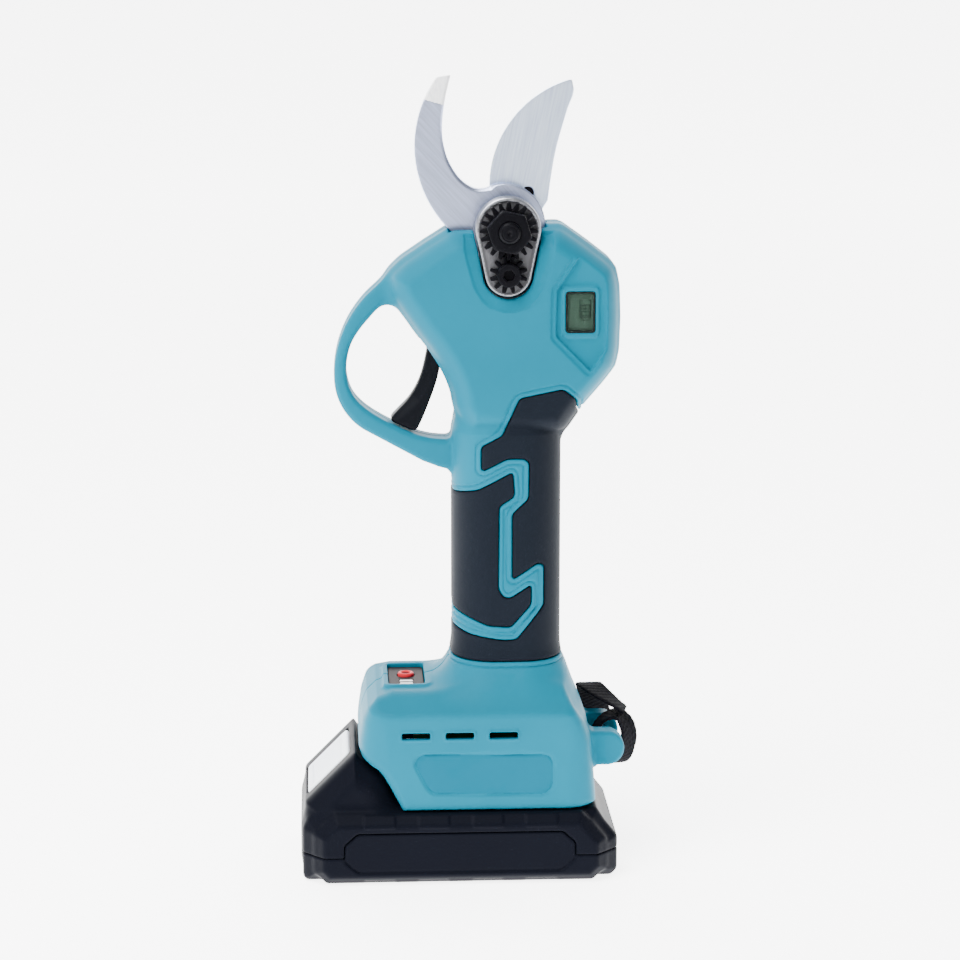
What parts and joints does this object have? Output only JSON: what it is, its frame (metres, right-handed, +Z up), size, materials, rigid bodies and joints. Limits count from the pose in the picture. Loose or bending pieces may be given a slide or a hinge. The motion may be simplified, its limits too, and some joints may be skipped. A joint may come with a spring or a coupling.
{
  "type": "battery electric pruner",
  "caption": "Upright one-hand electric pruner: fixed hook blade and geared moving blade, finger guard with trigger, motor handle, flared foot with slide-on battery, wrist strap.",
  "frame": {"origin": "on the battery's flat bottom face, under the handle's axis", "axes": "+Z up along the handle to the blades, -X towards the trigger and the battery latch, -Y towards the display"},
  "size_m": [0.1298, 0.1275, 0.3001],
  "materials": {
    "teal_plastic": "matte, fine moulded texture",
    "soft_grip": "matte, fine speckle",
    "cast_aluminium": "bead blasted with a turned bright rim",
    "blade_steel": "ground, brushed along the blade",
    "gear_steel": "machined",
    "black_oxide": "black oxide, satin",
    "bronze": "sintered bronze",
    "motor_casing": "satin black",
    "copper_winding": "enamelled winding",
    "bright_steel": "zinc plated",
    "black_plastic": "satin",
    "circuit_board": "solder mask",
    "display_glass": "clear window",
    "display_lcd": "grey-green liquid crystal",
    "panel_grey": "satin film",
    "button_red": "translucent red",
    "light_white": "diffuse light pipe",
    "lead_insulation": "silicone lead",
    "webbing": "woven polyester",
    "battery_plastic": "fine moulded texture",
    "cell_wrap": "shrink wrap",
    "cell_holder": "moulded",
    "nickel": "nickel strip",
    "brass_contact": "spring contact",
    "latch_white": "satin"
  },
  "bodies": {
    "tool": {"housing_left": "teal_plastic", "housing_right": "teal_plastic", "grip_left": "soft_grip", "grip_right": "soft_grip", "gear_head": "cast_aluminium", "fixed_blade": "blade_steel", "ring_gear": "gear_steel", "output_bearings": "gear_steel", "motor_bearings": "gear_steel", "pivot_bolt": "black_oxide", "pivot_nut": "black_oxide", "lock_washer": "black_oxide", "lock_pinion": "black_oxide", "lock_screw": "black_oxide", "motor_can": "motor_casing", "stator": "copper_winding", "trigger_pin": "bright_steel", "trigger_spring": "bright_steel", "housing_screws": "bright_steel", "strap_pin": "bright_steel", "motor_end_cap": "black_plastic", "terminal_block": "black_plastic", "trigger_board": "circuit_board", "display_board": "circuit_board", "button_board": "circuit_board", "controller_board": "circuit_board", "display_window": "display_glass", "display_panel": "display_lcd", "button_panel": "panel_grey", "button_lights": "light_white", "motor_leads": "lead_insulation", "wrist_strap": "webbing"},
    "blade": {"cutting_blade": "blade_steel", "gear_sector": "gear_steel", "sector_screws": "black_oxide"},
    "output_shaft": {"planet_carrier": "gear_steel", "drive_pinion": "gear_steel"},
    "planet_1": {"planet_gear_1": "bronze"},
    "planet_2": {"planet_gear_2": "bronze"},
    "planet_3": {"planet_gear_3": "bronze"},
    "rotor": {"rotor": "bright_steel", "sun_gear": "gear_steel"},
    "trigger": {"trigger": "black_plastic", "trigger_magnet": "bright_steel"},
    "power_button": {"power_button": "button_red"},
    "battery": {"battery_case_top": "battery_plastic", "battery_case_bottom": "battery_plastic", "battery_cells": "cell_wrap", "cell_holder": "cell_holder", "cell_straps": "nickel", "battery_board": "circuit_board", "battery_terminals": "brass_contact", "battery_screws": "bright_steel", "latch_springs": "bright_steel"},
    "latch": {"latch_button": "latch_white"}
  },
  "joints": [
    {"name": "blade_swing", "type": "hinge", "parent": "tool", "child": "blade", "pos_m": [0, 0, 0.2445], "axis": [0, -1, 0], "range_deg": [0, 48]},
    {"name": "output_spin", "type": "hinge", "parent": "tool", "child": "output_shaft", "pos_m": [0, 0, 0.16], "axis": [0, 0, 1], "range_deg": [-192, 0]},
    {"name": "planet_1_spin", "type": "hinge", "parent": "output_shaft", "child": "planet_1", "pos_m": [0.0081, 0, 0.16], "axis": [0, 0, 1], "range_deg": [0, 537.6]},
    {"name": "planet_2_spin", "type": "hinge", "parent": "output_shaft", "child": "planet_2", "pos_m": [-0.00405, 0.00701, 0.16], "axis": [0, 0, 1], "range_deg": [0, 537.6]},
    {"name": "planet_3_spin", "type": "hinge", "parent": "output_shaft", "child": "planet_3", "pos_m": [-0.00405, -0.00701, 0.16], "axis": [0, 0, 1], "range_deg": [0, 537.6]},
    {"name": "rotor_spin", "type": "hinge", "parent": "tool", "child": "rotor", "pos_m": [0, 0, 0.12], "axis": [0, 0, 1], "range_deg": [-864, 0]},
    {"name": "trigger_pull", "type": "hinge", "parent": "tool", "child": "trigger", "pos_m": [-0.024, 0, 0.213], "axis": [0, -1, 0], "range_deg": [0, 12], "stiffness_Nm_per_rad": 0.08, "springref_deg": -8.59},
    {"name": "button_press", "type": "slide", "parent": "tool", "child": "power_button", "axis": [0, 0, -1], "range_m": [0, 0.001], "stiffness_N_per_m": 500, "springref_m": -0.0008},
    {"name": "battery_slide", "type": "slide", "parent": "tool", "child": "battery", "axis": [-1, 0, 0], "range_m": [0, 0.085]},
    {"name": "latch_press", "type": "slide", "parent": "battery", "child": "latch", "axis": [0, 0, -1], "range_m": [0, 0.0035], "stiffness_N_per_m": 600, "springref_m": -0.002, "deforming": ["latch_springs"]}
  ],
  "couplings": [
    {"joint": "output_spin", "follows": "blade_swing", "ratio": -4},
    {"joint": "rotor_spin", "follows": "blade_swing", "ratio": -18},
    {"joint": "planet_1_spin", "follows": "blade_swing", "ratio": 11.2},
    {"joint": "planet_2_spin", "follows": "blade_swing", "ratio": 11.2},
    {"joint": "planet_3_spin", "follows": "blade_swing", "ratio": 11.2}
  ]
}
